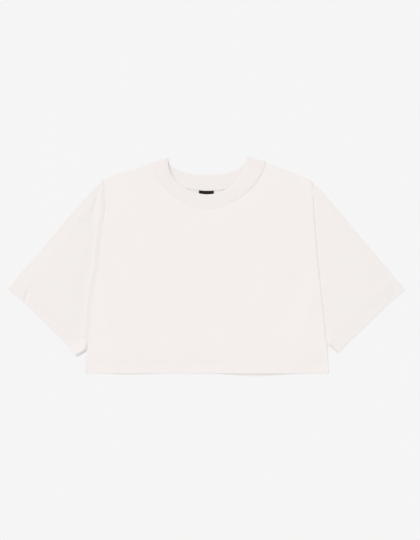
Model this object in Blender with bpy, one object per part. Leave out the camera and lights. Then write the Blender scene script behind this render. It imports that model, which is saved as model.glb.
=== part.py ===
"""A cropped T-shirt with dropped shoulders and short wide sleeves, laid flat on its back.

X runs across the garment, the wearer's left at +X, +Y towards the neck and +Z up off the surface
it lies on. Units are metres.
Every piece of cloth is a surface through the middle of its wall, and Solidify gives it the thickness.
"""

from collections import namedtuple

import bpy
import numpy as np

# Cloth
JERSEY_WALL = 0.0012
RIB_WALL = 0.0022  # the neck rib is folded double
LABEL_WALL = 0.0010
SEAM_GAP = 0.0003
SEAM_STRIP = 0.001  # each sleeve runs straight out of its armhole this far, so its rim is square to it

# Body, measured flat. Drops are distances below the highest point of the neck.
HEM_HALF_WIDTH = 0.2505
BODY_LENGTH = 0.4472
UNDERARM_HALF_WIDTH = 0.2480
UNDERARM_DROP = 0.3830
SHOULDER_HALF_WIDTH = 0.2135
SHOULDER_DROP = 0.0480

# Neck rib
NECK_HALF_WIDTH = 0.0815
RIB_SHOULDER_OUT = 0.0350
RIB_SHOULDER_DROP = 0.0095

# Depth of the rib's free edge at its middle, its width there, and how round its edge and its seam run:
# 2 is an ellipse, more is squarer and less is more pointed
NeckSide = namedtuple("NeckSide", "drop width edge_roundness seam_roundness")
FRONT_NECK = NeckSide(0.0743, 0.0322, 2.25, 1.75)
BACK_NECK = NeckSide(0.0342, 0.0320, 2.25, 2.20)

# Sleeves
CUFF_TOP_OUT = 0.4080
CUFF_TOP_DROP = 0.2708
CUFF_UNDER_OUT = 0.2692
CUFF_UNDER_DROP = 0.4055

# Neck label
LABEL_WIDTH = 0.0312
LABEL_DROP = 0.0160
LABEL_OFFSET_X = -0.0015

# Colours, linear
JERSEY_COLOUR = (0.88, 0.85, 0.82)
RIB_COLOUR = (0.87, 0.84, 0.81)
LABEL_COLOUR = (0.012, 0.010, 0.009)
CLOTH_ROUGHNESS = 0.9

# Heights of the middle of each wall over the surface
BACK_LEVEL = JERSEY_WALL / 2
FRONT_SEAM_LEVEL = BACK_LEVEL + JERSEY_WALL + SEAM_GAP + 0.0002
FRONT_NECK_LEVEL = 0.0032
FRONT_LOFT = 0.0026
HEM_LEVEL = 0.0030
SLEEVE_SEAM_LEVEL = 0.0026
SLEEVE_FOLD_LEVEL = 0.0036
SLEEVE_LOFT = 0.0022
CUFF_LEVEL = 0.0036
RIB_BACK_LEVEL = RIB_WALL / 2
RIB_FRONT_LEVEL = 0.00395
RIB_SEAM_SINK = 0.0005
RIB_CROWN = 0.0004
TALLEST_LEVEL = 0.0056

# Distances over which the cloth rises from a seam or an edge to its full height
SIDE_RISE = 0.030
TOP_RISE = 0.035
HEM_RISE = 0.045
SLEEVE_RISE = 0.028
NECK_RISE = 0.020

# Grid counts
SHOULDER_COLUMNS = 9
NECK_COLUMNS = 24
HEM_SHARE_BELOW_NECK = 0.56  # how much of the hem lies in the columns that run up to the neck seam
BODY_ROWS = 24
SLEEVE_COLUMNS = 13
SLEEVE_ROWS = 15
FOLD_STEPS = 5
SIDE_POINTS = 400
SPAN_STEPS = 24
RIB_ROWS = 4
LABEL_COLUMNS = 8
LABEL_ROWS = 3

Shoulder = namedtuple("Shoulder", "out drop")
SHOULDER_LINE = (
    Shoulder(0.1470, 0.0192),
    Shoulder(0.1800, 0.0308),
)

Armhole = namedtuple("Armhole", "out drop")
ARMHOLE_LINE = (
    Armhole(0.2165, 0.0840),
    Armhole(0.2190, 0.1200),
    Armhole(0.2225, 0.1570),
    Armhole(0.2270, 0.2050),
    Armhole(0.2322, 0.2550),
    Armhole(0.2375, 0.2970),
    Armhole(0.2430, 0.3400),
)

# The upper fold of each sleeve, from the shoulder corner to the cuff: the right one is fuller, with a tuck
SleeveTop = namedtuple("SleeveTop", "out right_drop left_drop")
SLEEVE_TOP_LINE = (
    SleeveTop(0.2300, 0.0592, 0.0630),
    SleeveTop(0.2470, 0.0770, 0.0805),
    SleeveTop(0.2640, 0.0978, 0.1010),
    SleeveTop(0.2785, 0.1128, 0.1184),
    SleeveTop(0.3020, 0.1406, 0.1466),
    SleeveTop(0.3420, 0.1866, 0.1928),
    SleeveTop(0.3850, 0.2386, 0.2437),
)

# How far each cuff bows in from the straight line between its corners
CuffBow = namedtuple("CuffBow", "share right_in left_in")
CUFF_BOW = (
    CuffBow(0.20, 0.0015, 0.0006),
    CuffBow(0.50, 0.0012, 0.0003),
    CuffBow(0.80, 0.0016, 0.0022),
)

# The front hem arches up off the back hem in two places
HemArch = namedtuple("HemArch", "x half_width up height")
HEM_ARCHES = (
    HemArch(-0.153, 0.050, 0.0018, 0.0011),
    HemArch(0.111, 0.078, 0.0032, 0.0021),
)

# Soft folds: a trough has a negative height
SoftFold = namedtuple("SoftFold", "x drop turn half_length half_width height")
FRONT_FOLDS = (
    SoftFold(-0.205, 0.330, 105.0, 0.070, 0.012, 0.0010),
    SoftFold(-0.150, 0.300, 130.0, 0.080, 0.020, -0.0009),
    SoftFold(0.205, 0.320, 75.0, 0.075, 0.012, 0.0011),
    SoftFold(0.150, 0.285, 52.0, 0.085, 0.020, -0.0009),
    SoftFold(0.012, 0.385, 88.0, 0.045, 0.009, -0.0008),
    SoftFold(-0.060, 0.200, 20.0, 0.090, 0.030, 0.0006),
    SoftFold(0.085, 0.170, 155.0, 0.080, 0.028, 0.0006),
    SoftFold(-0.110, 0.075, 35.0, 0.050, 0.014, -0.0007),
)
RIGHT_SLEEVE_FOLDS = (
    SoftFold(-0.255, 0.112, 315.0, 0.022, 0.006, -0.0012),
    SoftFold(-0.245, 0.150, 80.0, 0.070, 0.010, 0.0009),
    SoftFold(-0.372, 0.268, 70.0, 0.022, 0.006, -0.0011),
    SoftFold(-0.300, 0.250, 50.0, 0.090, 0.022, 0.0007),
)
LEFT_SLEEVE_FOLDS = (
    SoftFold(0.310, 0.310, 135.0, 0.085, 0.022, -0.0010),
    SoftFold(0.255, 0.250, 100.0, 0.090, 0.012, 0.0009),
    SoftFold(0.330, 0.215, 128.0, 0.080, 0.020, 0.0007),
)

# Where each sleeve's lower edge meets the body, and the low strip along it that the front layer steps onto
Underarm = namedtuple("Underarm", "drop strip step")
RIGHT_UNDERARM = Underarm(0.3950, 0.0065, 0.0040)
LEFT_UNDERARM = Underarm(0.3830, 0.0015, 0.0080)


def eased(share):
    """0 to 1 with a level start and end."""
    share = np.clip(share, 0.0, 1.0)
    return share * share * (3.0 - 2.0 * share)


def curve_through(points, stations):
    """A smooth curve through the points, read at even steps of its length."""
    points = np.asarray(points, float)
    tangents = np.gradient(points, axis=0)
    t = np.linspace(0.0, 1.0, SPAN_STEPS, endpoint=False)[:, None]
    spans = []
    for k in range(len(points) - 1):
        spans.append(
            (2 * t**3 - 3 * t**2 + 1) * points[k]
            + (t**3 - 2 * t**2 + t) * tangents[k]
            + (3 * t**2 - 2 * t**3) * points[k + 1]
            + (t**3 - t**2) * tangents[k + 1]
        )
    return read_along(np.concatenate(spans + [points[-1:]]), stations)


def read_along(line, stations):
    """The line read at even steps of its length."""
    run = np.concatenate([[0.0], np.cumsum(np.linalg.norm(np.diff(line, axis=0), axis=1))])
    wanted = np.linspace(0.0, run[-1], stations)
    return np.stack([np.interp(wanted, run, line[:, axis]) for axis in range(2)], axis=1)


def coons_patch(first, last, start, end):
    """The grid between four border curves: rows run from first to last, columns from start to end."""
    rows = np.linspace(0.0, 1.0, len(start))[:, None, None]
    columns = np.linspace(0.0, 1.0, len(first))[None, :, None]
    between_rows = (1 - rows) * first[None] + rows * last[None]
    between_columns = (1 - columns) * start[:, None] + columns * end[:, None]
    corners = (1 - rows) * ((1 - columns) * first[0] + columns * first[-1])
    corners = corners + rows * ((1 - columns) * last[0] + columns * last[-1])
    return between_rows + between_columns - corners


def fold_height(plan, folds):
    """Height that a table of soft folds adds: each is a bell across its width and along its length."""
    height = np.zeros(plan.shape[:-1])
    for fold in folds:
        turn = np.radians(fold.turn)
        east = plan[..., 0] - fold.x
        north = plan[..., 1] + fold.drop
        along = east * np.cos(turn) + north * np.sin(turn)
        across = north * np.cos(turn) - east * np.sin(turn)
        bell = np.exp(-((along / fold.half_length) ** 2) - (across / fold.half_width) ** 2)
        height = height + fold.height * bell
    return height


def neck_arc(half_width, top, depth, roundness):
    """Half a rounded oval under the neck, from the wearer's left at +X to -X, as deep as depth."""
    angle = np.linspace(0.0, np.pi, NECK_COLUMNS + 1)
    power = 2.0 / roundness
    x = half_width * np.sign(np.cos(angle)) * np.abs(np.cos(angle)) ** power
    y = top - (depth - abs(top)) * np.sin(angle) ** power
    return np.stack([x, y], axis=1)


def rib_fold_reach():
    """How far the neck rib's fold stands past its centre line at the shoulder."""
    return (RIB_FRONT_LEVEL - RIB_BACK_LEVEL) / 2 + RIB_WALL / 2


def seam_arc(neck, outset):
    """The line where the rib is sewn to the front or the back, moved out by outset."""
    top = -RIB_SHOULDER_DROP - rib_fold_reach()
    half_width = NECK_HALF_WIDTH + RIB_SHOULDER_OUT + outset
    return neck_arc(half_width, top, neck.drop + neck.width + outset, neck.seam_roundness)


def side_line():
    """The side seam and the armhole on the +X side, from the hem to the shoulder corner."""
    side = [(HEM_HALF_WIDTH, -BODY_LENGTH)]
    side.append((UNDERARM_HALF_WIDTH, -UNDERARM_DROP))
    side += [(row.out, -row.drop) for row in reversed(ARMHOLE_LINE)]
    side.append((SHOULDER_HALF_WIDTH, -SHOULDER_DROP))
    return curve_through(side, SIDE_POINTS)


def mirrored(line):
    return line * (-1.0, 1.0)


def body_plan(neck, arches):
    """The front's or the back's outline as a grid, hem to shoulder in rows and -X to +X in columns."""
    neckline = seam_arc(neck, SEAM_GAP)
    shoulder = [(SHOULDER_HALF_WIDTH - SEAM_GAP / 2, -SHOULDER_DROP)]
    shoulder += [(row.out, -row.drop) for row in reversed(SHOULDER_LINE)]
    shoulder.append((neckline[0, 0], -RIB_SHOULDER_DROP))
    shoulder = curve_through(shoulder, SHOULDER_COLUMNS + 1)
    top = np.concatenate([mirrored(shoulder), neckline[::-1], shoulder[::-1]])
    outer = np.linspace(1.0, HEM_SHARE_BELOW_NECK, SHOULDER_COLUMNS + 1)
    inner = np.linspace(HEM_SHARE_BELOW_NECK, -HEM_SHARE_BELOW_NECK, NECK_COLUMNS + 3)[1:-1]
    hem_x = -np.concatenate([outer, inner, -outer[::-1]]) * (HEM_HALF_WIDTH - SEAM_GAP / 2)
    hem = np.stack([hem_x, np.full_like(hem_x, -BODY_LENGTH)], axis=1)
    for arch in arches:
        hem[:, 1] += arch.up * eased(1.0 - np.abs(hem_x - arch.x) / arch.half_width)
    side = read_along(side_line(), BODY_ROWS + 1) - (SEAM_GAP / 2, 0.0)
    return coons_patch(hem, top, mirrored(side), side)


def front_height(plan):
    """Middle of the front's wall: down at the seams, lofted between them and arched at the hem."""
    x, y = plan[..., 0], plan[..., 1]
    edge = np.maximum(np.abs(plan[:, :1, 0]), np.abs(plan[:, -1:, 0]))
    from_side = eased((edge - np.abs(x)) / SIDE_RISE)
    steps = np.linalg.norm(np.diff(plan, axis=0), axis=2)
    below_top = np.zeros_like(x)
    below_top[:-1] = np.cumsum(steps[::-1], axis=0)[::-1]
    from_top = eased(below_top / TOP_RISE)
    from_hem = eased((y + BODY_LENGTH) / HEM_RISE)
    hem_height = np.full_like(x, HEM_LEVEL - FRONT_SEAM_LEVEL)
    for arch in HEM_ARCHES:
        hem_height += arch.height * eased(1.0 - np.abs(x - arch.x) / arch.half_width)
    near_neck = eased(1.0 - (np.abs(x) - NECK_HALF_WIDTH - RIB_SHOULDER_OUT) / NECK_RISE)
    edge_height = FRONT_SEAM_LEVEL + (FRONT_NECK_LEVEL - FRONT_SEAM_LEVEL) * near_neck * (1 - from_top)
    open_height = hem_height * (1 - from_hem) + (FRONT_LOFT + fold_height(plan, FRONT_FOLDS)) * from_hem
    return np.clip(edge_height + open_height * from_side * from_top, FRONT_SEAM_LEVEL, TALLEST_LEVEL)


def sleeve_plan(side, top_drops, cuff_bows, underarm):
    """A sleeve laid flat: rows from armhole to cuff, columns from the upper fold to the underarm."""
    armhole = side_line()[::-1] + (SEAM_GAP / 2, 0.0)
    armhole = read_along(armhole[armhole[:, 1] > -underarm.drop], SLEEVE_COLUMNS + 1)
    cuff_top = np.array((CUFF_TOP_OUT, -CUFF_TOP_DROP))
    cuff_under = np.array((CUFF_UNDER_OUT, -CUFF_UNDER_DROP))
    inward = np.array((cuff_top - cuff_under)[::-1]) * (-1.0, 1.0)
    inward = inward / np.linalg.norm(inward)
    cuff = [cuff_top]
    for row, bow in zip(CUFF_BOW, cuff_bows):
        cuff.append(cuff_top + (cuff_under - cuff_top) * row.share + inward * bow)
    cuff = curve_through(cuff + [cuff_under], SLEEVE_COLUMNS + 1)
    upper = [armhole[0]]
    upper += [(row.out, -drop) for row, drop in zip(SLEEVE_TOP_LINE, top_drops)]
    upper = curve_through(upper + [cuff_top], SLEEVE_ROWS + 1)
    under = np.linspace(armhole[-1], cuff_under, SLEEVE_ROWS + 1)
    return coons_patch(armhole, cuff, upper, under) * (side, 1.0)


def inset_ends(plan, inset):
    """Each row of the grid shortened at both ends, to leave room for the folds there."""
    steps = np.linalg.norm(np.diff(plan, axis=1), axis=2)
    run = np.concatenate([np.zeros((len(plan), 1)), np.cumsum(steps, axis=1)], axis=1)
    rows = []
    for line, lengths in zip(plan, run):
        wanted = np.linspace(inset, lengths[-1] - inset, plan.shape[1])
        rows.append(np.stack([np.interp(wanted, lengths, line[:, axis]) for axis in range(2)], axis=1))
    return np.array(rows)


def sleeve_height(plan, folds, underarm):
    """Middle of the sleeve's front layer over the surface."""
    steps = np.linalg.norm(np.diff(plan, axis=1), axis=2)
    from_upper = np.concatenate([np.zeros((len(plan), 1)), np.cumsum(steps, axis=1)], axis=1)
    to_under = from_upper[:, -1:] - from_upper
    strides = np.linalg.norm(np.diff(plan, axis=0), axis=2)
    from_armhole = np.concatenate([np.zeros((1, plan.shape[1])), np.cumsum(strides, axis=0)])
    to_cuff = from_armhole[-1:] - from_armhole
    off_seam = eased(from_armhole / SLEEVE_RISE)
    off_under = eased((to_under - underarm.strip) / underarm.step)
    fold_level = SLEEVE_SEAM_LEVEL + (SLEEVE_FOLD_LEVEL - SLEEVE_SEAM_LEVEL) * off_seam
    rise = (SLEEVE_LOFT + fold_height(plan, folds)) * eased(to_cuff / SLEEVE_RISE)
    rise = rise + (CUFF_LEVEL - SLEEVE_SEAM_LEVEL) * (1 - eased(to_cuff / SLEEVE_RISE))
    middle = SLEEVE_SEAM_LEVEL + rise * off_seam
    level = fold_level + (middle - fold_level) * eased(from_upper / SLEEVE_RISE)
    level = FRONT_SEAM_LEVEL + (level - FRONT_SEAM_LEVEL) * off_under
    return np.clip(level, FRONT_SEAM_LEVEL, TALLEST_LEVEL)


def with_height(plan, height):
    return np.concatenate([plan, np.broadcast_to(height, plan.shape[:-1])[..., None]], axis=2)


def turned_fold(front_end, back_end, outward):
    """Half circles over the end of each row, from the front layer's last point down to the back layer's."""
    centre = (front_end + back_end) / 2
    radius = (front_end[:, 2:] - back_end[:, 2:]) / 2
    arcs = []
    for angle in np.linspace(0.0, np.pi, FOLD_STEPS + 1)[1:-1]:
        upward = np.array((0.0, 0.0, 1.0)) * np.cos(angle)
        arcs.append(centre + radius * (outward * np.sin(angle) + upward))
    return np.stack(arcs, axis=1)


def level_direction(vectors):
    vectors = vectors * (1.0, 1.0, 0.0)
    return vectors / np.linalg.norm(vectors, axis=1, keepdims=True)


def flat_tube(front, back, near_outward, far_outward):
    """Closed rings round a tube pressed flat: along the front, round a fold, along the back, round a fold."""
    far_fold = turned_fold(front[:, -1], back[:, -1], far_outward)
    near_fold = turned_fold(front[:, 0], back[:, 0], near_outward)[:, ::-1]
    return np.concatenate([front, far_fold, back[:, ::-1], near_fold], axis=1)


def cloth(name, grid, wall, closed, material):
    """A mesh over the grid of middle points, made into a wall. Closed joins the last column to the first."""
    rows, columns = grid.shape[:2]
    index = np.arange(rows * columns).reshape(rows, columns)
    if closed:
        index = np.concatenate([index, index[:, :1]], axis=1)
    corners = (index[:-1, :-1], index[:-1, 1:], index[1:, 1:], index[1:, :-1])
    faces = np.stack([corner.ravel() for corner in corners], axis=1)
    mesh = bpy.data.meshes.new(name)
    mesh.from_pydata(grid.reshape(-1, 3).tolist(), [], faces.tolist())
    mesh.materials.append(material)
    mesh.shade_smooth()
    mesh.set_sharp_from_angle(angle=np.radians(50.0))
    piece = bpy.data.objects.new(name, mesh)
    bpy.context.scene.collection.objects.link(piece)
    thickness = piece.modifiers.new("wall", "SOLIDIFY")
    thickness.thickness = wall
    thickness.offset = 0.0
    return piece


def finish(name, colour, roughness):
    material = bpy.data.materials.new(name)
    material.use_nodes = True
    shader = material.node_tree.nodes["Principled BSDF"]
    shader.inputs["Base Color"].default_value = (*colour, 1.0)
    shader.inputs["Roughness"].default_value = roughness
    shader.inputs["Metallic"].default_value = 0.0
    return material


def front_panel():
    plan = body_plan(FRONT_NECK, HEM_ARCHES)
    return with_height(plan, front_height(plan))


def back_panel():
    return with_height(body_plan(BACK_NECK, ()), BACK_LEVEL)


def sleeve(side, top_drops, cuff_bows, folds, underarm):
    reach = (SLEEVE_FOLD_LEVEL - BACK_LEVEL + JERSEY_WALL) / 2
    plan = inset_ends(sleeve_plan(side, top_drops, cuff_bows, underarm), reach)
    front = with_height(plan, sleeve_height(plan, folds, underarm))
    upward = level_direction(front[:, 0] - front[:, 1])
    downward = level_direction(front[:, -1] - front[:, -2])
    rings = flat_tube(front, with_height(plan, BACK_LEVEL), upward, downward)
    square_to_body = rings[:1] + (side * SEAM_STRIP, 0.0, 0.0)
    return np.concatenate([rings[:1], square_to_body, rings[1:]])


def neck_rib():
    """The rib band as rings from its folded inner edge out to its seam, turned over at both shoulders."""
    share = np.linspace(0.0, 1.0, RIB_ROWS + 1)[:, None]
    layers = []
    for neck in (FRONT_NECK, BACK_NECK):
        edge = neck_arc(NECK_HALF_WIDTH, -rib_fold_reach(), neck.drop, neck.edge_roundness)
        layers.append((1 - share[..., None]) * edge + share[..., None] * seam_arc(neck, 0.0))
    round_front = np.sin(np.linspace(0.0, np.pi, NECK_COLUMNS + 1))[None]
    relief = (4 * RIB_CROWN * share * (1 - share) - RIB_SEAM_SINK * share) * round_front
    front = with_height(layers[0], RIB_FRONT_LEVEL + relief)
    back = with_height(layers[1], RIB_BACK_LEVEL)
    towards_neck = np.tile((0.0, 1.0, 0.0), (RIB_ROWS + 1, 1))
    return flat_tube(front, back, towards_neck, towards_neck)


def neck_label():
    """A strip over the back's own surface, from the neck seam down."""
    seam = seam_arc(BACK_NECK, 2 * SEAM_GAP)
    x = np.linspace(-LABEL_WIDTH / 2, LABEL_WIDTH / 2, LABEL_COLUMNS + 1) + LABEL_OFFSET_X
    top = np.interp(x, seam[::-1, 0], seam[::-1, 1])
    bottom = np.full_like(x, -BACK_NECK.drop - BACK_NECK.width - LABEL_DROP)
    share = np.linspace(0.0, 1.0, LABEL_ROWS + 1)[:, None]
    y = (1 - share) * bottom + share * top
    plan = np.stack([np.broadcast_to(x, y.shape), y], axis=2)
    return with_height(plan, BACK_LEVEL + JERSEY_WALL / 2 + SEAM_GAP + LABEL_WALL / 2)


def build():
    for old in list(bpy.data.objects):
        bpy.data.objects.remove(old)
    grids = {
        "back_panel": back_panel(),
        "front_panel": front_panel(),
        "sleeve_left": sleeve(
            1.0,
            [row.left_drop for row in SLEEVE_TOP_LINE],
            [row.left_in for row in CUFF_BOW],
            LEFT_SLEEVE_FOLDS,
            LEFT_UNDERARM,
        ),
        "sleeve_right": sleeve(
            -1.0,
            [row.right_drop for row in SLEEVE_TOP_LINE],
            [row.right_in for row in CUFF_BOW],
            RIGHT_SLEEVE_FOLDS,
            RIGHT_UNDERARM,
        ),
        "neck_rib": neck_rib(),
        "neck_label": neck_label(),
    }
    walls = {"neck_rib": RIB_WALL, "neck_label": LABEL_WALL}
    tubes = ("sleeve_left", "sleeve_right", "neck_rib")
    colours = {"neck_rib": RIB_COLOUR, "neck_label": LABEL_COLOUR}
    for name, grid in grids.items():
        centred = grid + (0.0, BODY_LENGTH / 2, 0.0)
        material = finish(name, colours.get(name, JERSEY_COLOUR), CLOTH_ROUGHNESS)
        cloth(name, centred, walls.get(name, JERSEY_WALL), name in tubes, material)


build()
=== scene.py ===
"""A cropped T-shirt with dropped shoulders and short wide sleeves, laid flat on its back.

X runs across the garment with the wearer's left at +X, +Y is towards the neck and +Z is up. Units are metres.
Drops are distances below the neck point, where the shoulders meet the neck.
"""

import bpy
import numpy as np
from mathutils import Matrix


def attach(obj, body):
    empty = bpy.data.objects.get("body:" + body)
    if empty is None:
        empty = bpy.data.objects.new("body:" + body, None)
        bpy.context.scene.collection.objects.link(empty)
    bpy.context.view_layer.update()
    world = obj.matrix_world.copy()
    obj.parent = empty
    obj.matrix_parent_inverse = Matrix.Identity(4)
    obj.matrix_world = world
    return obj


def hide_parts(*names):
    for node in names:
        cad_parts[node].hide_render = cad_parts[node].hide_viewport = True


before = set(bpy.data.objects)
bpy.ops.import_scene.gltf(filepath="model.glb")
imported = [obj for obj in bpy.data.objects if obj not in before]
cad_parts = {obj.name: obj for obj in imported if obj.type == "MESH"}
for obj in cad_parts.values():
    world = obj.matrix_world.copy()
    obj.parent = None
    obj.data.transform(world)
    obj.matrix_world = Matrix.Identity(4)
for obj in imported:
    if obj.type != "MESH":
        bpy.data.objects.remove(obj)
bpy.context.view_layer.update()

# ------------------------------------------------------------------------------
# The back. One panel of heavy cotton jersey with dropped shoulders, lying flat on the floor.
# Its hem is turned up inside and held by two rows of stitches, and its other edges go into the seams.

NECK_POINT_Y = 0.2236
JERSEY_WALL = 0.0007
SEAM_TUCK = 0.0003  # how far each piece of cloth runs past the line of its seam, down into it
HEM_TURN_RADIUS, HEM_TURN_STEPS = 0.00042, 8
HEM_DEPTH = 0.0280
HEM_DROP = 0.4431  # where the cloth starts to turn up at the hem
NEEDLE_ROWS = (0.0215, 0.0265)  # stitch rows, from the edge of a hem
BACK_LEVEL = 0.0005
BACK_FULLNESS = 0.00012  # how much higher the panel lies than the back layers of the sleeves
BACK_EDGE_LIFT, BACK_EDGE_REACH = 0.0004, 0.002  # how the cloth of the back turns up into its seams

# Out and drop down the armhole and the side to the hem, for the left at 1 and the right at -1
SIDE_TABLES = {
    1: ((0.2135, 0.0470), (0.2192, 0.0840), (0.2214, 0.1200), (0.2242, 0.1570), (0.2284, 0.2050),
        (0.2334, 0.2550), (0.2378, 0.2970), (0.2426, 0.3400), (0.2462, 0.3830), (0.2492, HEM_DROP)),
    -1: ((0.2140, 0.0430), (0.2114, 0.0818), (0.2108, 0.1065), (0.2144, 0.1300), (0.2180, 0.1600),
         (0.2222, 0.2050), (0.2248, 0.2300), (0.2312, 0.2580), (0.2358, 0.2920), (0.2386, 0.3180),
         (0.2411, 0.3500), (0.2455, 0.3830), (0.2506, 0.4150), (0.2512, HEM_DROP)),
}
# Out and drop up each shoulder, which ends at the neck seam
SHOULDER_TABLES = {
    1: ((0.2135, 0.0470), (0.1940, 0.0388), (0.1780, 0.0322), (0.1640, 0.0272), (0.1470, 0.0216),
        (0.1330, 0.0156)),
    -1: ((0.2140, 0.0430), (0.1970, 0.0361), (0.1800, 0.0303), (0.1640, 0.0252), (0.1470, 0.0202),
         (0.1310, 0.0140)),
}
BACK_HEM_RISE = 0.0004  # how far the back's hem lies inside the front's
# Where it droops past it: middle, half width, how far
BACK_HEM_DROOPS = ((0.1000, 0.1000, 0.0054), (-0.1555, 0.0600, 0.0026))
NECK_SEAM_OUTS = (0.1190, 0.1160)  # of the left and the right end of the neck seam
NECK_SEAM_TOPS = (0.0085, 0.0105)
BACK_SEAM_DEPTH, BACK_SEAM_ROUNDNESS = 0.0675, (1.85, 1.85)

# Low waves of the cloth: height, length, turn in degrees, shift. They fade out over the reach to an edge.
BACK_SWELL = ((0.00009, 0.130, 20.0, 0.4), (0.00008, 0.083, 100.0, 1.9), (0.00006, 0.061, 62.0, 3.3))
BACK_SWELL_REACH = 0.03

# How finely a body panel and its edges are worked out
SHOULDER_SHARE = 0.22  # share of the columns that run up to each shoulder
SHOULDER_RUN, SHOULDER_STEPS = 0.105, 33  # about the length of a shoulder
NECK_STEPS, PLAN_ROWS, BODY_ROWS = 97, 140, 112
SIDE_POINTS, SHOULDER_POINTS, NECK_POINTS = 90, 40, 160
SPAN_STEPS, OVAL_STEPS = 24, 801
MOST_OF_COLUMN = 0.8  # share of a short column that its close steps may fill

# Distances from an edge at which the cloth is worked out: close where it turns over, wide where it is flat
EDGE_STEPS = np.array((0, 0.12, 0.35, 0.7, 1.15, 1.7, 2.4, 3.3, 4.6, 6.3, 8.5, 11.0)) / 1000
HEM_STEPS = np.array((0.6, 1.3, 2.2, 3.6, 5.5, 8, 11, 14, 17, 19.4, 20.6, 21.1, 21.5, 21.9, 22.4, 24,
                      25.6, 26.1, 26.5, 26.9, 27.4, 28.0, 29.0, 31.0)) / 1000
HEM_ROWS = len(HEM_STEPS[HEM_STEPS <= HEM_DEPTH])


def eased(share):
    """0 to 1 with a level start and end: three squares less two cubes of the share."""
    share = np.clip(share, 0.0, 1.0)
    return share * share * (3.0 - 2.0 * share)


def rolled(share):
    """0 to 1 along a quarter of a circle, upright at the start and level at the end."""
    return np.sqrt(1.0 - (1.0 - np.clip(share, 0.0, 1.0)) ** 2)


def turned(distance, depth, reach):
    """How far cloth turns at an edge: the depth at it, and a quarter of a circle to nothing at the reach."""
    return depth * (1 - rolled(distance / reach))


def plan_points(table, outset=0.0):
    """Rows of out and drop as points of the plan: x is the out, y the neck point less the drop."""
    out, drop = np.asarray(table, float).T
    return np.stack([out + outset, NECK_POINT_Y - drop], axis=1)


def smooth_line(points):
    """A line through the points: cubic spans, each with the average slopes of its neighbours at its ends."""
    slope = np.gradient(points, axis=0)
    t = np.linspace(0.0, 1.0, SPAN_STEPS, endpoint=False)[None, :, None]
    spans = (2 * t**3 - 3 * t**2 + 1) * points[:-1, None] + (t**3 - 2 * t**2 + t) * slope[:-1, None]
    spans = spans + (3 * t**2 - 2 * t**3) * points[1:, None] + (t**3 - t**2) * slope[1:, None]
    return np.concatenate([spans.reshape(-1, points.shape[1]), points[-1:]])


def run_along(line):
    """How far along the line each of its points is, or down each column of a grid."""
    steps = np.linalg.norm(np.diff(line, axis=0), axis=-1)
    return np.concatenate([0 * steps[:1], np.cumsum(steps, axis=0)])


def read_at(line, run, lengths):
    """The line read at lengths of the run along it."""
    return np.stack([np.interp(lengths, run, axis) for axis in line.T], axis=1)


def at_shares(line, shares):
    """The line read at shares of its length."""
    run = run_along(line)
    return read_at(line, run, np.asarray(shares) * run[-1])


def evenly(line, count):
    """The line read at this many even shares of its length."""
    return at_shares(line, np.linspace(0.0, 1.0, count))


def neck_line(outs, tops, depth, roundness):
    """Half an oval under the neck, with outs, tops and roundness for its left and its right end.

    Out goes with a power of the cosine, and drop with the same power of the sine: 2 over the roundness.
    """
    angle = np.linspace(0.0, np.pi, OVAL_STEPS)
    power = 2.0 / (roundness[0] + (roundness[1] - roundness[0]) * eased(angle / np.pi))
    out = np.sign(np.cos(angle)) * np.abs(np.cos(angle)) ** power * np.where(angle < np.pi / 2, *outs)
    top = tops[0] + (tops[1] - tops[0]) * eased(angle / np.pi)
    drop = top + (depth - top) * np.clip(np.sin(angle), 0.0, 1.0) ** power
    return plan_points(np.stack([out, drop], axis=1))


def filled(first, last, start, end, rows, columns):
    """The grid between four edges: first and last in proportion, plus start and end, less the corners'."""
    rows, columns = rows[:, None, None], columns[None, :, None]
    down = (1 - rows) * first[None] + rows * last[None]
    across = (1 - columns) * start[:, None] + columns * end[:, None]
    corners = (1 - rows) * ((1 - columns) * first[0] + columns * first[-1])
    return down + across - corners - rows * ((1 - columns) * last[0] + columns * last[-1])


def at_lengths(grid, lengths):
    """Each column read at lengths down it.

    The span that holds a length is found by counting the points above it, and is crossed in proportion.
    """
    run, steps = run_along(grid), np.linalg.norm(np.diff(grid, axis=0), axis=2)
    span = np.clip((run[None] <= lengths[:, None]).sum(axis=1) - 1, 0, len(grid) - 2)
    share = (lengths - np.take_along_axis(run, span, axis=0)) / np.take_along_axis(steps, span, axis=0)
    near = np.take_along_axis(grid, span[..., None], axis=0)
    far = np.take_along_axis(grid, span[..., None] + 1, axis=0)
    return near + (far - near) * share[..., None]


def stations(first, last, totals, count):
    """Lengths down columns: the first ones from the start, the last ones from the end, even ones between."""
    shrink = np.minimum(1.0, MOST_OF_COLUMN * totals / (first[-1] + last[-1]))
    head = first[:, None] * shrink
    tail = totals - last[::-1, None] * shrink
    share = np.linspace(0.0, 1.0, count + 2)[1:-1, None]
    return np.concatenate([head, head[-1:] * (1 - share) + tail[:1] * share, tail])


def distance_to(line, plan):
    """Distance from each point of the plan to the nearest of the line's straight spans."""
    start, span = line[:-1], np.diff(line, axis=0)
    offset = plan[..., None, :] - start
    share = np.clip((offset * span).sum(axis=-1) / (span**2).sum(axis=-1), 0.0, 1.0)
    return np.linalg.norm(offset - share[..., None] * span, axis=-1).min(axis=-1)


def swell(plan, table):
    """Low uneven waves: a sum of sines, each with a height, a length, a turn and a shift."""
    height = np.zeros(plan.shape[:-1])
    for amount, length, turn, shift in table:
        way = np.cos(np.radians(turn)) * plan[..., 0] + np.sin(np.radians(turn)) * plan[..., 1]
        height += amount * np.sin(2 * np.pi * way / length + shift)
    return height


def raised(plan, height):
    """The plan's points with their heights."""
    return np.concatenate([plan, np.broadcast_to(height, plan.shape[:-1])[..., None]], axis=-1)


def unit(vectors):
    """The vectors, each made one long."""
    return vectors / np.linalg.norm(vectors, axis=-1, keepdims=True)


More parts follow.
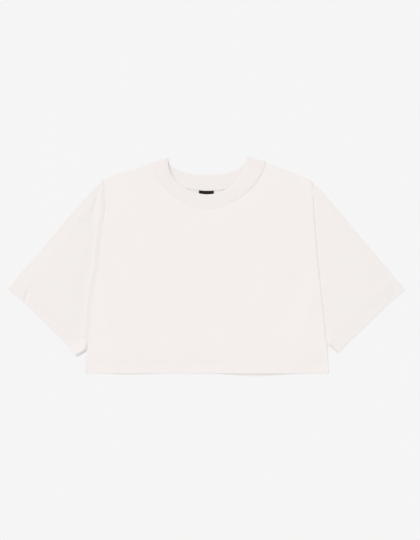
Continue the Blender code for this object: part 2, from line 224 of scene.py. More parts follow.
def outward(grid, around, sign):
    """Unit normals of a grid: the cross product of its slopes down and across, times the sign."""
    if around:
        across = np.roll(grid, -1, axis=1) - np.roll(grid, 1, axis=1)
    else:
        across = np.gradient(grid, axis=1)
    return unit(np.cross(np.gradient(grid, axis=0), across) * sign)


def turned_hem(grid, around, sign, rows):
    """The cloth with its last edge turned in: half a circle round it, then its last rows again, inside."""
    normal = outward(grid, around, sign)
    ahead = unit(grid[-1] - grid[-2])
    angle = np.linspace(0.0, np.pi, HEM_TURN_STEPS)[1:-1, None, None]
    turn = grid[-1] + HEM_TURN_RADIUS * (ahead * np.sin(angle) + normal[-1] * (np.cos(angle) - 1))
    inside = (grid - 2 * HEM_TURN_RADIUS * normal)[-rows:][::-1]
    return np.concatenate([grid, turn, inside])


def placed(name, data):
    """A new object with this data, in the scene."""
    made = bpy.data.objects.new(name, data)
    bpy.context.scene.collection.objects.link(made)
    return made


def shown(name, mesh, material):
    """The mesh in its material, smooth, as an object in the scene."""
    mesh.materials.append(material)
    mesh.shade_smooth()
    return placed(name, mesh)


def skin(name, grid, uv, material, around=False, closed=False):
    """A mesh over a grid of points, with a face between each four neighbours and a UV map from the uv grid.

    around joins the last column to the first, and closed the last row to the first. The uv grid then has one
    column or row more.
    """
    rows, columns = grid.shape[:2]
    index = np.arange(rows * columns).reshape(rows, columns)
    index = np.pad(index, ((0, int(closed)), (0, int(around))), mode="wrap")
    near, far = slice(None, -1), slice(1, None)
    corners = (near, near), (near, far), (far, far), (far, near)
    faces = np.stack([index[corner] for corner in corners], axis=2).reshape(-1, 4)
    mesh = bpy.data.meshes.new(name)
    mesh.from_pydata(grid.reshape(-1, 3).tolist(), [], faces.tolist())
    loops = np.stack([uv[corner] for corner in corners], axis=2).reshape(-1, 2)
    mesh.uv_layers.new(name="cloth").data.foreach_set("uv", loops.astype(np.float32).ravel())
    return shown(name, mesh, material)


def walled(piece, thickness):
    """Half of the thickness on each side of the surface."""
    wall = piece.modifiers.new("wall", "SOLIDIFY")
    wall.thickness = thickness
    wall.offset = 0.0
    return piece


def coating(name, values):
    """A new material, its node tree, and its shader with these values in its sockets."""
    material = bpy.data.materials.new(name)
    material.use_nodes = True
    shader = material.node_tree.nodes["Principled BSDF"]
    for socket, value in values.items():
        shader.inputs[socket].default_value = value
    return material, material.node_tree, shader


def node(tree, kind, inputs, **settings):
    """A new node's outputs. Each input is given a value, or another node's output that goes into it."""
    made = tree.nodes.new(f"ShaderNode{kind}")
    for setting, value in settings.items():
        setattr(made, setting, value)
    for socket, value in inputs.items():
        if isinstance(value, bpy.types.NodeSocket):
            tree.links.new(value, made.inputs[socket])
        else:
            made.inputs[socket].default_value = value
    return made.outputs


def math(tree, operation, *values):
    """The result of one sum on numbers or on other nodes' outputs."""
    return node(tree, "Math", dict(enumerate(values)), operation=operation)["Value"]


LEG_SLANT = 1.3  # how many courses a loop's leg slants for each wale that it crosses
LOOP_RELIEF = 0.35  # height of a loop's legs, where the crown of its wale is 1
# The crown's share is painted shade: the colour is darker between the wales and lighter on their crowns.
CLOUD_TONE, FLECK_TONE, CROWN_SHADE_TONE, LOW_TONE = 0.016, 0.012, 0.008, 0.982  # shares of the colour


def knit(name, colour, wale, course, depth, sheen, turn=0.0):
    """Knitted cotton: rows of V-shaped loops in the UV map, a fleck of fibre, a faint cloud of colour, and
    painted shade that is darker between the wales and lighter on their crowns.

    Across each wale a triangle wave slants the loops one way and then the other, and a sine runs down them.
    """
    material, tree, shader = coating(name, {
        "Roughness": 0.92, "Specular IOR Level": 0.25, "Sheen Weight": sheen, "Sheen Roughness": 0.6})
    place = node(tree, "UVMap", {}, uv_map="cloth")["UV"]
    place = node(tree, "Mapping", {"Vector": place, "Rotation": (0.0, 0.0, np.radians(turn))})["Vector"]
    split = node(tree, "SeparateXYZ", {"Vector": place})
    leg = math(tree, "PINGPONG", math(tree, "MULTIPLY", split["X"], 1.0 / wale), 0.5)
    down = math(tree, "MULTIPLY", split["Y"], 1.0 / course)
    slanted = math(tree, "ADD", down, math(tree, "MULTIPLY", leg, LEG_SLANT))
    loop = math(tree, "SINE", math(tree, "MULTIPLY", slanted, 2 * np.pi))
    crown = math(tree, "SINE", math(tree, "MULTIPLY", leg, 2 * np.pi))
    height = math(tree, "ADD", math(tree, "MULTIPLY", loop, LOOP_RELIEF), crown)

    where = node(tree, "TexCoord", {})["Object"]
    fleck = node(tree, "TexNoise", {"Vector": where, "Scale": 1400.0, "Detail": 3.0})["Fac"]
    height = math(tree, "ADD", height, fleck)
    bump = node(tree, "Bump", {"Height": height, "Strength": 0.35, "Distance": depth})
    tree.links.new(bump["Normal"], shader.inputs["Normal"])

    cloud = node(tree, "TexNoise", {"Vector": where, "Scale": 14.0, "Detail": 4.0})["Fac"]
    tone = math(tree, "MULTIPLY", cloud, CLOUD_TONE)
    tone = math(tree, "ADD", tone, math(tree, "MULTIPLY", fleck, FLECK_TONE))
    # Painted shade between the wales, lighter on each wale's crown.
    tone = math(tree, "ADD", tone, math(tree, "MULTIPLY", crown, CROWN_SHADE_TONE))
    tone = math(tree, "ADD", tone, LOW_TONE)
    colours = {"Factor": 1.0, "A": (*colour, 1.0), "B": tone}
    shade = node(tree, "Mix", colours, data_type="RGBA", blend_type="MULTIPLY")
    tree.links.new(shade["Result"], shader.inputs["Base Color"])
    return material


def shoulder_line(way, neck_seam):
    """A smooth line up a shoulder to its end of the neck seam, with its outs above nothing on both sides."""
    end = neck_seam[:1] if way > 0 else neck_seam[-1:]
    return smooth_line(np.concatenate([plan_points(SHOULDER_TABLES[way]), end * (way, 1)]))


def body_plan(neck_seam, hem_rise):
    """A body panel as a grid: rows from the shoulders and the neck seam to the hem, columns from -X to +X."""
    left = smooth_line(plan_points(SIDE_TABLES[1], SEAM_TUCK))
    right = smooth_line(plan_points(SIDE_TABLES[-1], SEAM_TUCK)) * (-1, 1)
    inward = np.concatenate([EDGE_STEPS, np.linspace(EDGE_STEPS[-1], SHOULDER_RUN, SHOULDER_STEPS)[1:]])
    edge = inward / SHOULDER_RUN
    half = edge * SHOULDER_SHARE
    middle = np.linspace(SHOULDER_SHARE, 1 - SHOULDER_SHARE, NECK_STEPS)[1:-1]
    columns = np.concatenate([half, middle, 1 - half[::-1]])
    top_left = at_shares(shoulder_line(1, neck_seam), edge)
    top_left[:, 0] = np.minimum(top_left[:, 0], left[0, 0])
    top_right = at_shares(shoulder_line(-1, neck_seam), edge) * (-1, 1)
    top_right[:, 0] = np.maximum(top_right[:, 0], right[0, 0])
    neck = at_shares(neck_seam, (middle - SHOULDER_SHARE) / (1 - 2 * SHOULDER_SHARE))[::-1]
    top = np.concatenate([top_right, neck, top_left[::-1]])
    hem_x = right[-1, 0] + (left[-1, 0] - right[-1, 0]) * columns
    hem = np.stack([hem_x, NECK_POINT_Y - HEM_DROP + hem_rise(hem_x)], axis=1)
    rows = np.linspace(0.0, 1.0, PLAN_ROWS)
    plan = filled(top, hem, at_shares(right, rows), at_shares(left, rows), rows, columns)
    return at_lengths(plan, stations(EDGE_STEPS, HEM_STEPS, run_along(plan)[-1], BODY_ROWS))


def body_edges(plan, neck_seam):
    """Distances to the armholes and side seams, to the shoulder seams and to the neck seam."""
    to_sides, to_shoulders = [], []
    for way in (1, -1):
        side = evenly(smooth_line(plan_points(SIDE_TABLES[way], SEAM_TUCK)), SIDE_POINTS)
        to_sides.append(distance_to(side * (way, 1), plan))
        shoulder = evenly(shoulder_line(way, neck_seam), SHOULDER_POINTS)
        to_shoulders.append(distance_to(shoulder * (way, 1), plan))
    to_neck = distance_to(evenly(neck_seam, NECK_POINTS), plan)
    return np.minimum(*to_sides), np.minimum(*to_shoulders), to_neck


JERSEY_KNIT = {"wale": 0.00115, "course": 0.00085, "depth": 0.00012, "sheen": 0.10}
jersey = knit("jersey", colour=(0.899, 0.856, 0.832), **JERSEY_KNIT)


def flat_uv(grid, around=False):
    """The plan itself in metres, so that the loops run straight down the panel."""
    return np.pad(grid[..., :2], ((0, 0), (0, int(around)), (0, 0)), mode="wrap")


def back_hem_rise(x):
    """The rise less the droops: each droop is an eased step up to its middle and down again."""
    droops = sum(down * eased(1 - np.abs(x - middle) / half) for middle, half, down in BACK_HEM_DROOPS)
    return BACK_HEM_RISE - droops


tucked_outs = [out - SEAM_TUCK for out in NECK_SEAM_OUTS]
BACK_NECK_SEAM = neck_line(tucked_outs, NECK_SEAM_TOPS, BACK_SEAM_DEPTH - SEAM_TUCK, BACK_SEAM_ROUNDNESS)
back_outer = body_plan(BACK_NECK_SEAM, back_hem_rise)
back_edge = np.minimum.reduce(body_edges(back_outer, BACK_NECK_SEAM))
back_waves = swell(back_outer, BACK_SWELL) * eased(back_edge / BACK_SWELL_REACH)
back_height = BACK_LEVEL + BACK_FULLNESS + back_waves
back_height += turned(back_edge, BACK_EDGE_LIFT, BACK_EDGE_REACH)
back_outer = raised(back_outer, back_height)
back_grid = turned_hem(back_outer, False, -1.0, HEM_ROWS)
back_cloth = walled(skin("back_cloth", back_grid, flat_uv(back_grid), jersey), JERSEY_WALL)
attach(back_cloth, "root")
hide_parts("back_panel")


# ------------------------------------------------------------------------------
# The front. One panel of the same jersey over the back, with air between them. It turns down into its
# seams, most of all at the wearer's left armhole, and its hem waves a little over the back's.

FRONT_LOFT = 0.0042
FRONT_LOW = 0.0013
HEM_LEVEL, HEM_REACH = 0.0030, 0.055  # how high the hem lies, and how far up the panel that is felt
HEM_END_REACH = 0.004  # how far from the side seams the hem takes to reach its level
FRONT_SEAM_DEPTH, FRONT_SEAM_ROUNDNESS = 0.1065, (1.68, 1.62)
UNDERARM_DROPS = (0.380, 0.392)  # over which the armhole's seam gives way to the side's

# The armholes' seams: how far the cloth goes down into them, and over what distance. The left one gets
# deeper over its upper end.
LEFT_SEAM_FALL, LEFT_SEAM_GAIN, LEFT_SEAM_REACH = 0.0002, 0.0032, 0.0058
LEFT_SEAM_DROPS, LEFT_SEAM_POWER = (0.062, 0.095), 2.4
RIGHT_SEAM_FALL, RIGHT_SEAM_REACH = 0.0002, 0.0060
# The neck seam's fall, which is greater at the wearer's left end
NECK_SEAM_FALL, NECK_SEAM_GAIN, NECK_SEAM_REACH = 0.00012, 0.00040, 0.0030
NECK_GAIN_OUTS = (0.080, 0.095)
# The long slopes down to the edges, with their reaches, and how near to an edge the cloth rounds over
ARM_SLOPE, ARM_SLOPE_REACH, SIDE_ROUND = 0.0008, 0.05, 0.0026
SHOULDER_SLOPE, SHOULDER_SLOPE_REACH, SHOULDER_ROUND = 0.0006, 0.04, 0.0024
NECK_SLOPE, NECK_SLOPE_REACH = 0.0008, 0.03
FOLD_REACH = 0.025  # how far from an edge the folds and waves take to reach their height
GROOVE_DEPTH, GROOVE_WIDTH = 0.00006, 0.0009

# Each wave of the hem: middle, half width, how far it draws the hem up the panel, how far it lifts it
HEM_ARCHES = ((-0.1555, 0.0600, 0.0000, 0.0002), (0.1050, 0.0950, -0.0006, 0.0018))

# Soft troughs and ridges: out, drop, turn in degrees, half length, half width, height
FRONT_FOLDS = (
    (-0.205, 0.330, 105.0, 0.070, 0.012, 0.0007),
    (-0.150, 0.300, 130.0, 0.080, 0.020, -0.0006),
    (0.205, 0.320, 75.0, 0.075, 0.012, 0.0007),
    (0.175, 0.285, 62.0, 0.085, 0.016, -0.0008),
    (0.012, 0.385, 88.0, 0.035, 0.005, -0.0004),
    (-0.2297, 0.305, 88.0, 0.045, 0.0035, -0.0010),
    (-0.060, 0.200, 20.0, 0.090, 0.030, 0.0004),
    (0.085, 0.170, 155.0, 0.080, 0.028, 0.0004),
    (-0.110, 0.075, 35.0, 0.040, 0.012, -0.0005),
)
FRONT_SWELL = ((0.00016, 0.118, 12.0, 0.6), (0.00012, 0.079, 97.0, 2.1), (0.00009, 0.057, 48.0, 4.0),
               (0.00006, 0.039, 128.0, 1.2))


def folds(plan, table):
    """Height of soft folds: each is a bell across its width and along its length."""
    height = np.zeros(plan.shape[:-1])
    for out, drop, turn, half_length, half_width, amount in table:
        east, north = plan[..., 0] - out, plan[..., 1] - (NECK_POINT_Y - drop)
        turn = np.radians(turn)
        along = (east * np.cos(turn) + north * np.sin(turn)) / half_length
        across = (north * np.cos(turn) - east * np.sin(turn)) / half_width
        height += amount * np.exp(-(along**2) - across**2)
    return height


def sewn(share, power=2.0):
    """0 to 1 along a power curve that is level at its end, as cloth leaves a seam: 2 is a parabola."""
    return 1.0 - (1.0 - np.clip(share, 0.0, 1.0)) ** power


def drawn_down(distance, depth, reach, power=2.0):
    """How far cloth goes down into a seam: the depth at it, and a power curve to nothing at the reach."""
    return depth * (1 - sewn(distance / reach, power))


def sloped(distance, depth, reach):
    """How far cloth slopes down to an edge: the depth at it, and eased to nothing at the reach."""
    return depth * (1 - eased(distance / reach))


def settled(loft, low, falls):
    """Height of a panel: its loft less its falls, which are added by their cubes, and never under low."""
    return np.maximum(loft - sum(fall**3 for fall in falls) ** (1 / 3), low)


def between(value, start, end):
    """0 before the start and 1 after the end, with an eased step."""
    return eased((value - start) / (end - start))


def needle_grooves(distance):
    """The cloth drawn in along the two stitch rows: a narrow bell over each row's distance from the edge."""
    return sum(-GROOVE_DEPTH * np.exp(-(((distance - row) / GROOVE_WIDTH) ** 2)) for row in NEEDLE_ROWS)


def arched(x, values):
    """The sum of the hem's waves: each value with an eased step up to its wave's middle and down again."""
    return sum(value * eased(1 - np.abs(x - arch[0]) / arch[1]) for arch, value in zip(HEM_ARCHES, values))


def front_hem_rise(x):
    """How far the hem is drawn up the panel."""
    return arched(x, [arch[2] for arch in HEM_ARCHES])


FRONT_NECK_SEAM = neck_line(tucked_outs, NECK_SEAM_TOPS, FRONT_SEAM_DEPTH - SEAM_TUCK, FRONT_SEAM_ROUNDNESS)
front_plan = body_plan(FRONT_NECK_SEAM, front_hem_rise)
front_x = front_plan[..., 0]
to_side, to_shoulder, to_neck = body_edges(front_plan, FRONT_NECK_SEAM)
from_hem = front_plan[..., 1] - (NECK_POINT_Y - HEM_DROP) - front_hem_rise(front_x)
front_drop = NECK_POINT_Y - front_plan[..., 1]
left_depth = LEFT_SEAM_FALL + LEFT_SEAM_GAIN * between(front_drop, *LEFT_SEAM_DROPS)
left_fall = drawn_down(to_side, left_depth, LEFT_SEAM_REACH, LEFT_SEAM_POWER)
right_fall = drawn_down(to_side, RIGHT_SEAM_FALL, RIGHT_SEAM_REACH)
arm_fall = np.where(front_x > 0, left_fall, right_fall)
edge_fall = turned(to_side, FRONT_LOFT - ARM_SLOPE - FRONT_LOW, SIDE_ROUND)
side_fall = arm_fall + (edge_fall - arm_fall) * between(front_drop, *UNDERARM_DROPS)
side_fall += sloped(to_side, ARM_SLOPE, ARM_SLOPE_REACH)
shoulder_fall = turned(to_shoulder, FRONT_LOFT - SHOULDER_SLOPE - FRONT_LOW, SHOULDER_ROUND)
shoulder_fall += sloped(to_shoulder, SHOULDER_SLOPE, SHOULDER_SLOPE_REACH)
neck_depth = NECK_SEAM_FALL + NECK_SEAM_GAIN * between(front_x, *NECK_GAIN_OUTS)
neck_fall = drawn_down(to_neck, neck_depth, NECK_SEAM_REACH) + sloped(to_neck, NECK_SLOPE, NECK_SLOPE_REACH)
front_height = settled(FRONT_LOFT, FRONT_LOW, (side_fall, shoulder_fall, neck_fall))
off_edges = eased(np.minimum.reduce([to_side, to_shoulder, to_neck]) / FOLD_REACH)
front_height += off_edges * (folds(front_plan, FRONT_FOLDS) + swell(front_plan, FRONT_SWELL))
arch_lift = arched(front_x, [arch[3] for arch in HEM_ARCHES])
hem_share = 1 - eased(from_hem / HEM_REACH)
off_sides = eased(to_side / HEM_END_REACH)
front_height += off_sides * hem_share * (HEM_LEVEL - FRONT_LOFT + arch_lift)
front_height += needle_grooves(from_hem) * off_sides
front_outer = raised(front_plan, front_height)
front_grid = turned_hem(front_outer, False, 1.0, HEM_ROWS)
front_cloth = walled(skin("front_cloth", front_grid, flat_uv(front_grid), jersey), JERSEY_WALL)
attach(front_cloth, "root")
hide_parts("front_panel")

# ------------------------------------------------------------------------------
# The sleeves. Each is one piece of the jersey sewn into a tube and pressed flat, with a soft fold along
# the top, a seam under the arm and a turned cuff. The armhole seam's edges are pressed towards it.

SLEEVE_LOW = 0.0013
SLEEVE_LOFT = 0.0042
CUFF_LEVEL, CUFF_REACH = 0.0031, 0.04  # how high the cuff lies, and how far up the sleeve that is felt
TOP_FOLD_LEVEL = 0.0026
TOP_FOLD_REACHES = (0.003, 0.03)  # the top fold rises half of the way to it over each, from the armhole
TOP_ROUND = 0.028  # how far from the top fold the front layer takes to reach its height
SLEEVE_FOLD_REACH = 0.02  # how far from the armhole the folds and waves take to reach their height
CREASE_REACHES = (0.006, 0.003)  # how far from the top fold and from the cuff a cuff's creases begin
RIDGE_PLACE, RIDGE_WIDTH = 0.0105, 0.0045  # the seam's pressed edges under the cloth, from the armhole

# How far each sleeve goes down into its armhole seam, and over what distance. The left one gets deeper where
# the front does. The right one gets shallower and narrower on its way down: by how much, and over what drops.
LEFT_SLEEVE_FALL, LEFT_SLEEVE_GAIN, LEFT_SLEEVE_REACH = 0.0001, 0.0015, 0.0026
RIGHT_SLEEVE_FALL, RIGHT_SLEEVE_REACH = 0.0013, 0.0080
RIGHT_FALL_LOSSES = ((0.0003, 0.12, 0.16), (0.0007, 0.20, 0.27))
RIGHT_REACH_LOSS, RIGHT_REACH_DROPS = 0.0020, (0.20, 0.29)

# For the left at 1 and the right at -1: the drop at which the armhole ends, how near the underarm the front
# layer turns down, how far it stands up there, and the height of the seam's ridge
SLEEVE_SIZES = {1: (0.3850, 0.0048, 0.0042, 0.0001), -1: (0.3990, 0.0058, 0.0062, 0.0008)}
UNDERARM_FULLNESS = 0.030  # how far from the underarm it stands up
UNDERARM_POWER = 1.25
UNDERARM_END_REACH = 0.006  # how far from the armhole it takes to stand up

# How finely a sleeve is worked out
UNDERARM_SHARE = 0.045  # share of the way across that has the close columns, at the underarm
UPPER_COLUMNS, UNDERARM_COLUMNS = 107, 28
SLEEVE_PLAN_ROWS, SLEEVE_ROWS, FOLD_STEPS = 120, 64, 11
CUFF_POINTS, ARMHOLE_POINTS = 100, 140

# Out and drop where the cuff meets the top fold and the underarm, for the left at 1 and the right at -1
CUFF_CORNERS = {1: ((0.4067, 0.2713), (0.2658, 0.4014)), -1: ((0.4108, 0.2698), (0.2672, 0.4092))}
# The column of the next two tables that is each sleeve's own
OWN_COLUMN = {1: 2, -1: 1}
# Out, and the drop of the right and the left sleeve's top fold there
SLEEVE_TOP_TABLE = (
    (0.2300, 0.0569, 0.0630), (0.2470, 0.0755, 0.0812), (0.2640, 0.0950, 0.1020), (0.2785, 0.1105, 0.1194),
    (0.3020, 0.1390, 0.1478), (0.3420, 0.1860, 0.1936), (0.3850, 0.2360, 0.2447),
)
# Share along the cuff, and how far the right and the left cuff bow in there
CUFF_BOW_TABLE = ((0.20, 0.0032, 0.0026), (0.50, 0.0028, 0.0010), (0.80, 0.0024, 0.0006))

# Soft folds and creases, in the front's columns, for the left at 1 and the right at -1
SLEEVE_FOLDS = {
    1: (
        (0.3100, 0.3100, 135.0, 0.085, 0.022, -0.0008),
        (0.2550, 0.2500, 100.0, 0.090, 0.012, 0.0006),
        (0.3300, 0.2150, 128.0, 0.080, 0.020, 0.0005),
    ),
    -1: (
        (-0.2302, 0.0930, 75.0, 0.030, 0.0042, -0.0018),
        (-0.2420, 0.1300, 75.0, 0.050, 0.0150, -0.0012),
        (-0.2625, 0.1290, 327.0, 0.013, 0.0035, -0.0012),
        (-0.2540, 0.1210, 327.0, 0.016, 0.0045, 0.0006),
        (-0.2450, 0.1500, 80.0, 0.070, 0.010, 0.0006),
        (-0.3000, 0.2500, 50.0, 0.090, 0.022, 0.0006),
        (-0.2800, 0.0950, 350.0, 0.020, 0.008, -0.0008),
    ),
}
# Creases near the top corner of each cuff
CUFF_CREASES = {
    1: ((0.3840, 0.2830, 100.0, 0.014, 0.0050, -0.0005),),
    -1: ((-0.3732, 0.2850, 76.0, 0.012, 0.0034, -0.0020), (-0.3790, 0.2610, 66.0, 0.012, 0.0040, -0.0006)),
}
SLEEVE_SWELL = ((0.00014, 0.091, 52.0, 0.9), (0.00011, 0.063, 141.0, 2.6), (0.00008, 0.047, 15.0, 4.4))

# The sleeves' colour is a little darker than the body's jersey. This is painted shade, so that the sleeves
# lie a shade darker than the body. Each sleeve keeps the jersey's loops, turned along the sleeve.
shaded_sleeve_jersey = {side: knit(f"shaded_jersey_sleeve_{name}", colour=(0.886, 0.844, 0.820), turn=turn, **JERSEY_KNIT)
                 for side, name, turn in ((1, "left", -42.0), (-1, "right", 42.0))}


def turned_fold(front_end, back_end, step):
    """Half a circle over the end of each row, on the way of the step there, from the front to the back."""
    way = unit(step * (1.0, 1.0, 0.0))
    centre = (front_end + back_end) / 2
    radius = (front_end[:, 2:] - back_end[:, 2:]) / 2
    angle = np.linspace(0.0, np.pi, FOLD_STEPS)[1:-1, None, None]
    arm = way * np.sin(angle) + np.array((0.0, 0.0, 1.0)) * np.cos(angle)
    return np.swapaxes(centre + radius * arm, 0, 1)


def into_armhole(side, drop, to_armhole):
    """How far a sleeve goes down into its armhole seam: its own trough and the long slope to the seam."""
    if side > 0:
        depth = LEFT_SLEEVE_FALL + LEFT_SLEEVE_GAIN * between(drop, *LEFT_SEAM_DROPS)
        fall = drawn_down(to_armhole, depth, LEFT_SLEEVE_REACH, LEFT_SEAM_POWER)
    else:
        depth = RIGHT_SLEEVE_FALL
        for loss, start, end in RIGHT_FALL_LOSSES:
            depth = depth - loss * between(drop, start, end)
        reach = RIGHT_SLEEVE_REACH - RIGHT_REACH_LOSS * between(drop, *RIGHT_REACH_DROPS)
        fall = drawn_down(to_armhole, depth, reach)
    return fall + sloped(to_armhole, ARM_SLOPE, ARM_SLOPE_REACH)


def sleeve_rings(side, underarm_drop, underarm_reach, underarm_rise, ridge):
    """The sleeve's rings from the armhole to the cuff: front layer, underarm fold, back layer and top fold.

    The front layer's height is settled between its edges. Along the underarm it stands up, and turns down to
    the back layer there.
    """
    own = OWN_COLUMN[side]
    armhole = smooth_line(plan_points(SIDE_TABLES[side], -SEAM_TUCK))
    armhole = armhole[armhole[:, 1] > NECK_POINT_Y - underarm_drop]
    top_corner, under_corner = plan_points(CUFF_CORNERS[side])
    inward = unit((top_corner - under_corner)[::-1] * (-1, 1))
    bowed = [top_corner + (under_corner - top_corner) * row[0] + inward * row[own] for row in CUFF_BOW_TABLE]
    cuff = smooth_line(np.array([top_corner, *bowed, under_corner]))
    tops = plan_points([(row[0], row[own]) for row in SLEEVE_TOP_TABLE])
    upper = smooth_line(np.concatenate([armhole[:1], tops, [top_corner]]))
    rows = np.linspace(0.0, 1.0, SLEEVE_PLAN_ROWS)
    wide_columns = np.linspace(0.0, 1 - UNDERARM_SHARE, UPPER_COLUMNS)[:-1]
    columns = np.concatenate([wide_columns, np.linspace(1 - UNDERARM_SHARE, 1.0, UNDERARM_COLUMNS)])
    under = armhole[-1] + (under_corner - armhole[-1]) * rows[:, None]
    ends = at_shares(armhole, columns), at_shares(cuff, columns)
    plan = filled(*ends, at_shares(upper, rows), under, rows, columns)
    plan = at_lengths(plan, stations(EDGE_STEPS, HEM_STEPS, run_along(plan)[-1], SLEEVE_ROWS))
    cuff, armhole = evenly(cuff, CUFF_POINTS), evenly(armhole, ARMHOLE_POINTS)

    along_top = distance_to(armhole, plan[:, 0])
    steep, slow = TOP_FOLD_REACHES
    fold_share = 0.5 * rolled(along_top / steep) + 0.5 * eased(along_top / slow)
    fold_level = SLEEVE_LOW + (TOP_FOLD_LEVEL - SLEEVE_LOW) * fold_share
    reach = (fold_level - BACK_LEVEL + JERSEY_WALL) / 2
    across = np.swapaxes(plan, 0, 1)
    share = np.linspace(0.0, 1.0, len(across))[:, None]
    plan = np.swapaxes(at_lengths(across, reach + share * (run_along(across)[-1] - 2 * reach)), 0, 1)

    to_armhole, to_cuff = distance_to(armhole, plan), distance_to(cuff, plan)
    from_top = run_along(np.swapaxes(plan, 0, 1)).T
    from_under = from_top[:, -1:] - from_top
    own_plan = plan * (side, 1)
    uneven = folds(own_plan, SLEEVE_FOLDS[side]) + swell(plan, SLEEVE_SWELL)
    loft = SLEEVE_LOFT + uneven * eased(to_armhole / SLEEVE_FOLD_REACH)
    loft += (CUFF_LEVEL - loft) * (1 - eased(to_cuff / CUFF_REACH))
    armhole_fall = into_armhole(side, NECK_POINT_Y - plan[..., 1], to_armhole)
    height = settled(loft, SLEEVE_LOW, (armhole_fall,))
    height += ridge * np.exp(-(((to_armhole - RIDGE_PLACE) / RIDGE_WIDTH) ** 2))
    height = fold_level[:, None] + (height - fold_level[:, None]) * eased(from_top / TOP_ROUND)
    creases = folds(own_plan, CUFF_CREASES[side]) * eased(from_top / CREASE_REACHES[0])
    height += creases * eased(to_cuff / CREASE_REACHES[1])
    height += needle_grooves(to_cuff)
    rise = sloped(from_under, underarm_rise, UNDERARM_FULLNESS)
    height += rise * eased(to_armhole / UNDERARM_END_REACH)
    height = SLEEVE_LOW + (height - SLEEVE_LOW) * sewn(from_under / underarm_reach, UNDERARM_POWER)

    lift = turned(to_armhole, BACK_EDGE_LIFT, BACK_EDGE_REACH)
    front, back = raised(plan, height), raised(plan, BACK_LEVEL + lift)
    under_fold = turned_fold(front[:, -1], back[:, -1], front[:, -1] - front[:, -2])
    top_fold = turned_fold(front[:, 0], back[:, 0], front[:, 0] - front[:, 1])[:, ::-1]
    rings = np.concatenate([front, under_fold, back[:, ::-1], top_fold], axis=1)
    return rings * (side, 1, 1)


sleeves = {}
for side, name in ((1, "left"), (-1, "right")):
    outer = sleeve_rings(side, *SLEEVE_SIZES[side])
    rings = turned_hem(outer, True, -float(side), HEM_ROWS)
    cloth = skin(f"sleeve_{name}_cloth", rings, flat_uv(rings, True), shaded_sleeve_jersey[side], around=True)
    walled(cloth, JERSEY_WALL)
    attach(cloth, "root")
    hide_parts(f"sleeve_{name}")
    sleeves[side] = outer

# ------------------------------------------------------------------------------
# The neck rib. A band of 1x1 rib knit folded double and sewn on all round the neck. It lies over
# itself: its front half is on top, and it turns over at each shoulder.

RIB_HALF_WALL = 0.00095
RIB_PITCH = 0.0017
RIB_RELIEF = 0.00011
RIB_BACK_LEVEL = 0.00115
RIB_CROWN = 0.0004  # how far the front half bulges between its edges
RIB_CAP = 0.0042  # how far the back half's free edge takes to round over
RIB_SEAM_STRIP = 0.0050  # over which each face turns in to the seam
RIB_BACK_SEAM_FALL = 0.0003
NECK_OUTS = (0.0805, 0.0815)  # of the left and the right end of the neck opening
NECK_TOPS = (-0.0020, 0.0012)
FRONT_EDGE_DEPTH, FRONT_EDGE_ROUNDNESS = 0.0743, (1.76, 2.05)
BACK_EDGE_DEPTH, BACK_EDGE_ROUNDNESS = 0.0342, (1.9, 2.15)
COLUMNS_PER_RIB = 6
CAP_ROWS, FLAT_ROWS, LENGTH_POINTS = 7, 12, 200

# Share of the way round the front from the left shoulder, and there: how high the free edge and the seam lie,
# how far each face turns in at the seam, and how far the free edge takes to round over
RIB_FRONT_TABLE = (
    (0.00, 0.0034, 0.0035, 0.0009, 0.0042),
    (0.06, 0.0027, 0.0036, 0.0009, 0.0110),
    (0.20, 0.0025, 0.0036, 0.0009, 0.0120),
    (0.30, 0.0024, 0.0031, 0.0006, 0.0120),
    (0.40, 0.0023, 0.0027, 0.0003, 0.0042),
    (0.60, 0.0023, 0.0027, 0.0003, 0.0042),
    (0.68, 0.0023, 0.0028, 0.0003, 0.0100),
    (0.80, 0.0025, 0.0031, 0.0003, 0.0100),
    (0.90, 0.0052, 0.0034, 0.0003, 0.0042),
    (1.00, 0.0062, 0.0035, 0.0003, 0.0042),
)

# Its colour is a little darker than the body's jersey. This is painted shade, standing in for the shade that
# falls between the ribs.
rib_knit = knit("rib_knit", colour=(0.884, 0.841, 0.818), wale=0.00085, course=0.0007, depth=0.0001,
                sheen=0.10)


def rib_ring(front_line, back_line, front_level, back_level, counts):
    """One line round the band: the front from +X, half an ellipse for the fold, the back, the other fold."""
    front_count, back_count, fold_count = counts
    front = raised(evenly(front_line, front_count), front_level)
    back = raised(evenly(back_line, back_count), back_level)[::-1]
    angle = np.linspace(0.0, np.pi, fold_count + 2)[1:-1, None]
    turn = []
    for start, end in ((front[-1], back[0]), (back[-1], front[0])):
        middle, arm = (start + end) / 2, (start - end) / 2
        turn.append(middle + arm * np.cos(angle) + np.array((0.0, abs(arm[2]), 0.0)) * np.sin(angle))
    return np.concatenate([front, turn[0], back, turn[1]])


front_edge = neck_line(NECK_OUTS, NECK_TOPS, FRONT_EDGE_DEPTH, FRONT_EDGE_ROUNDNESS)
back_edge_line = neck_line(NECK_OUTS, NECK_TOPS, BACK_EDGE_DEPTH, BACK_EDGE_ROUNDNESS)
front_seam = neck_line(NECK_SEAM_OUTS, NECK_SEAM_TOPS, FRONT_SEAM_DEPTH, FRONT_SEAM_ROUNDNESS)
back_seam = neck_line(NECK_SEAM_OUTS, NECK_SEAM_TOPS, BACK_SEAM_DEPTH, BACK_SEAM_ROUNDNESS)
rib_lengths = [run_along(evenly(line, LENGTH_POINTS))[-1]
               for line in (front_edge, front_seam, back_edge_line, back_seam)]
front_ribs = round((rib_lengths[0] + rib_lengths[1]) / 2 / RIB_PITCH)
back_ribs = round((rib_lengths[2] + rib_lengths[3]) / 2 / RIB_PITCH)
rib_counts = (front_ribs * COLUMNS_PER_RIB, back_ribs * COLUMNS_PER_RIB, 2 * COLUMNS_PER_RIB)
rib_total = sum(rib_counts) + rib_counts[2]
